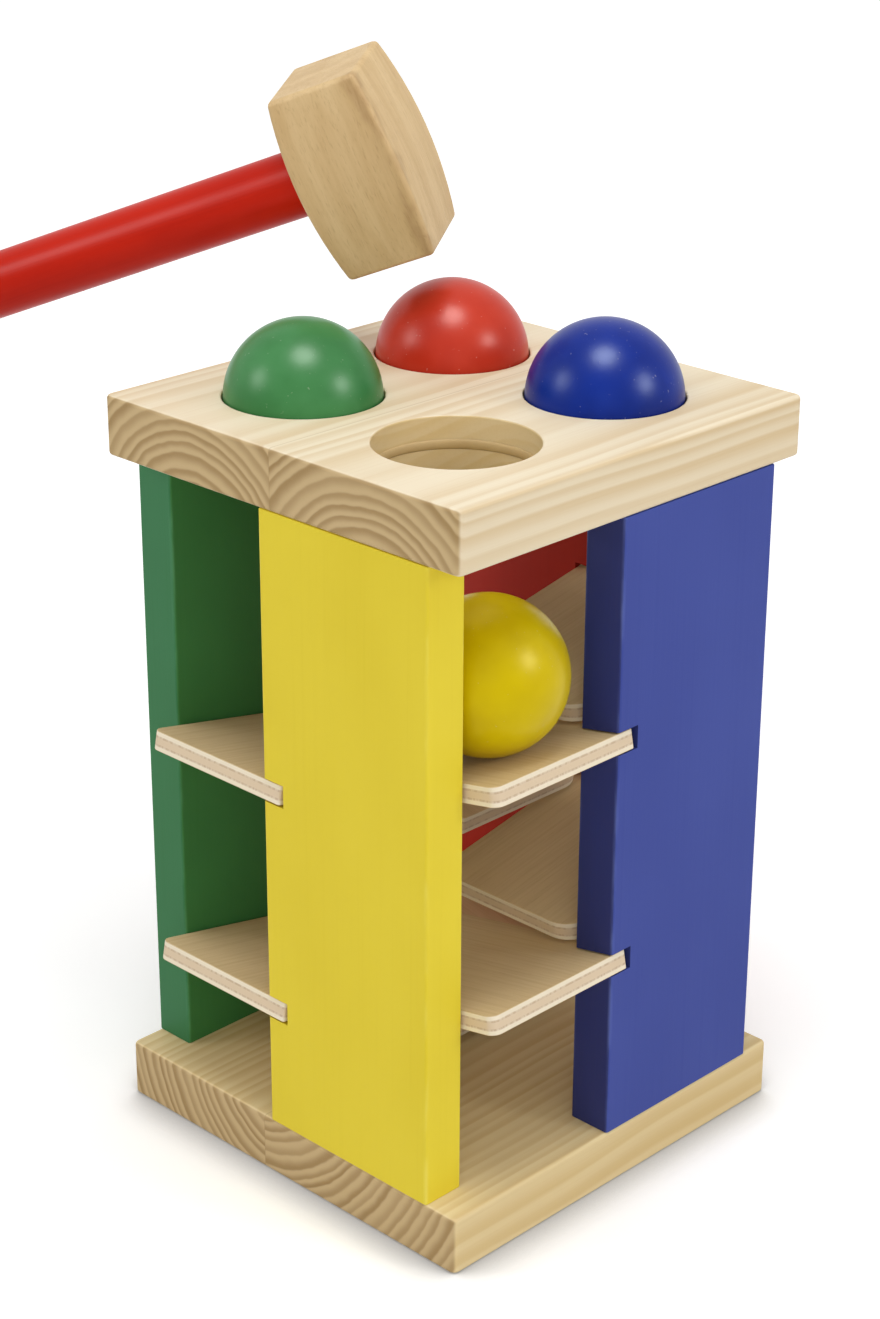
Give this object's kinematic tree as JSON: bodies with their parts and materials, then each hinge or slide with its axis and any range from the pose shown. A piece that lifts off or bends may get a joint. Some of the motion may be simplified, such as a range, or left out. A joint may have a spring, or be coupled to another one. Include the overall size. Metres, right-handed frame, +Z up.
{
  "type": "pound and roll tower",
  "caption": "Square wooden toy tower: balls are knocked through holes in the top board and roll down a spiral of sloping ramps between painted panels; a mallet goes with it.",
  "frame": {"origin": "centre of the base board's underside", "axes": "+Z up; -X and -Y are the two sides that the picture shows, left and right of the yellow panel's corner"},
  "size_m": [0.1452, 0.2707, 0.3231],
  "materials": {
    "pine": "satin lacquer",
    "plywood": "bare, sanded",
    "beech": "satin lacquer",
    "yellow_paint": "satin paint",
    "blue_paint": "satin paint",
    "red_paint": "satin paint",
    "green_paint": "satin paint",
    "handle_red": "gloss paint",
    "natural_rubber": "matt",
    "zinc_steel": "zinc plated"
  },
  "bodies": {
    "tower": {"base_board": "pine", "top_board": "pine", "yellow_panel": "yellow_paint", "yellow_panel_dowel_1": "beech", "yellow_panel_dowel_2": "beech", "yellow_panel_screw_1": "zinc_steel", "yellow_panel_screw_2": "zinc_steel", "yellow_hole_ring": "natural_rubber", "blue_panel": "blue_paint", "blue_panel_dowel_1": "beech", "blue_panel_dowel_2": "beech", "blue_panel_screw_1": "zinc_steel", "blue_panel_screw_2": "zinc_steel", "blue_hole_ring": "natural_rubber", "red_panel": "red_paint", "red_panel_dowel_1": "beech", "red_panel_dowel_2": "beech", "red_panel_screw_1": "zinc_steel", "red_panel_screw_2": "zinc_steel", "red_hole_ring": "natural_rubber", "green_panel": "green_paint", "green_panel_dowel_1": "beech", "green_panel_dowel_2": "beech", "green_panel_screw_1": "zinc_steel", "green_panel_screw_2": "zinc_steel", "green_hole_ring": "natural_rubber", "ramp_1": "plywood", "ramp_2": "plywood", "ramp_3": "plywood", "ramp_4": "plywood", "ramp_5": "plywood", "ramp_6": "plywood", "ramp_7": "plywood", "ramp_8": "plywood"},
    "green_ball": {"green_ball": "green_paint"},
    "red_ball": {"red_ball": "red_paint"},
    "blue_ball": {"blue_ball": "blue_paint"},
    "yellow_ball": {"yellow_ball": "yellow_paint"},
    "hammer": {"hammer_head": "beech", "hammer_handle": "handle_red"}
  },
  "joints": [
    {"name": "green_ball_drop", "type": "slide", "parent": "tower", "child": "green_ball", "axis": [0, 0, 1], "range_m": [-0.0828, 0], "deforming": ["green_hole_ring"]},
    {"name": "red_ball_drop", "type": "slide", "parent": "tower", "child": "red_ball", "axis": [0, 0, 1], "range_m": [-0.1004, 0], "deforming": ["red_hole_ring"]},
    {"name": "blue_ball_drop", "type": "slide", "parent": "tower", "child": "blue_ball", "axis": [0, 0, 1], "range_m": [-0.0475, 0], "deforming": ["blue_hole_ring"]},
    {"name": "yellow_ball_roll", "type": "slide", "parent": "tower", "child": "yellow_ball", "axis": [0, 0.9816, -0.1908], "range_m": [-0.012, 0.05]},
    {"name": "hammer_swing", "type": "hinge", "parent": "tower", "child": "hammer", "pos_m": [-0.05364, 0.17057, 0.23395], "axis": [0.8455, 0.5018, 0.1823], "range_deg": [-55, 4.2]}
  ]
}
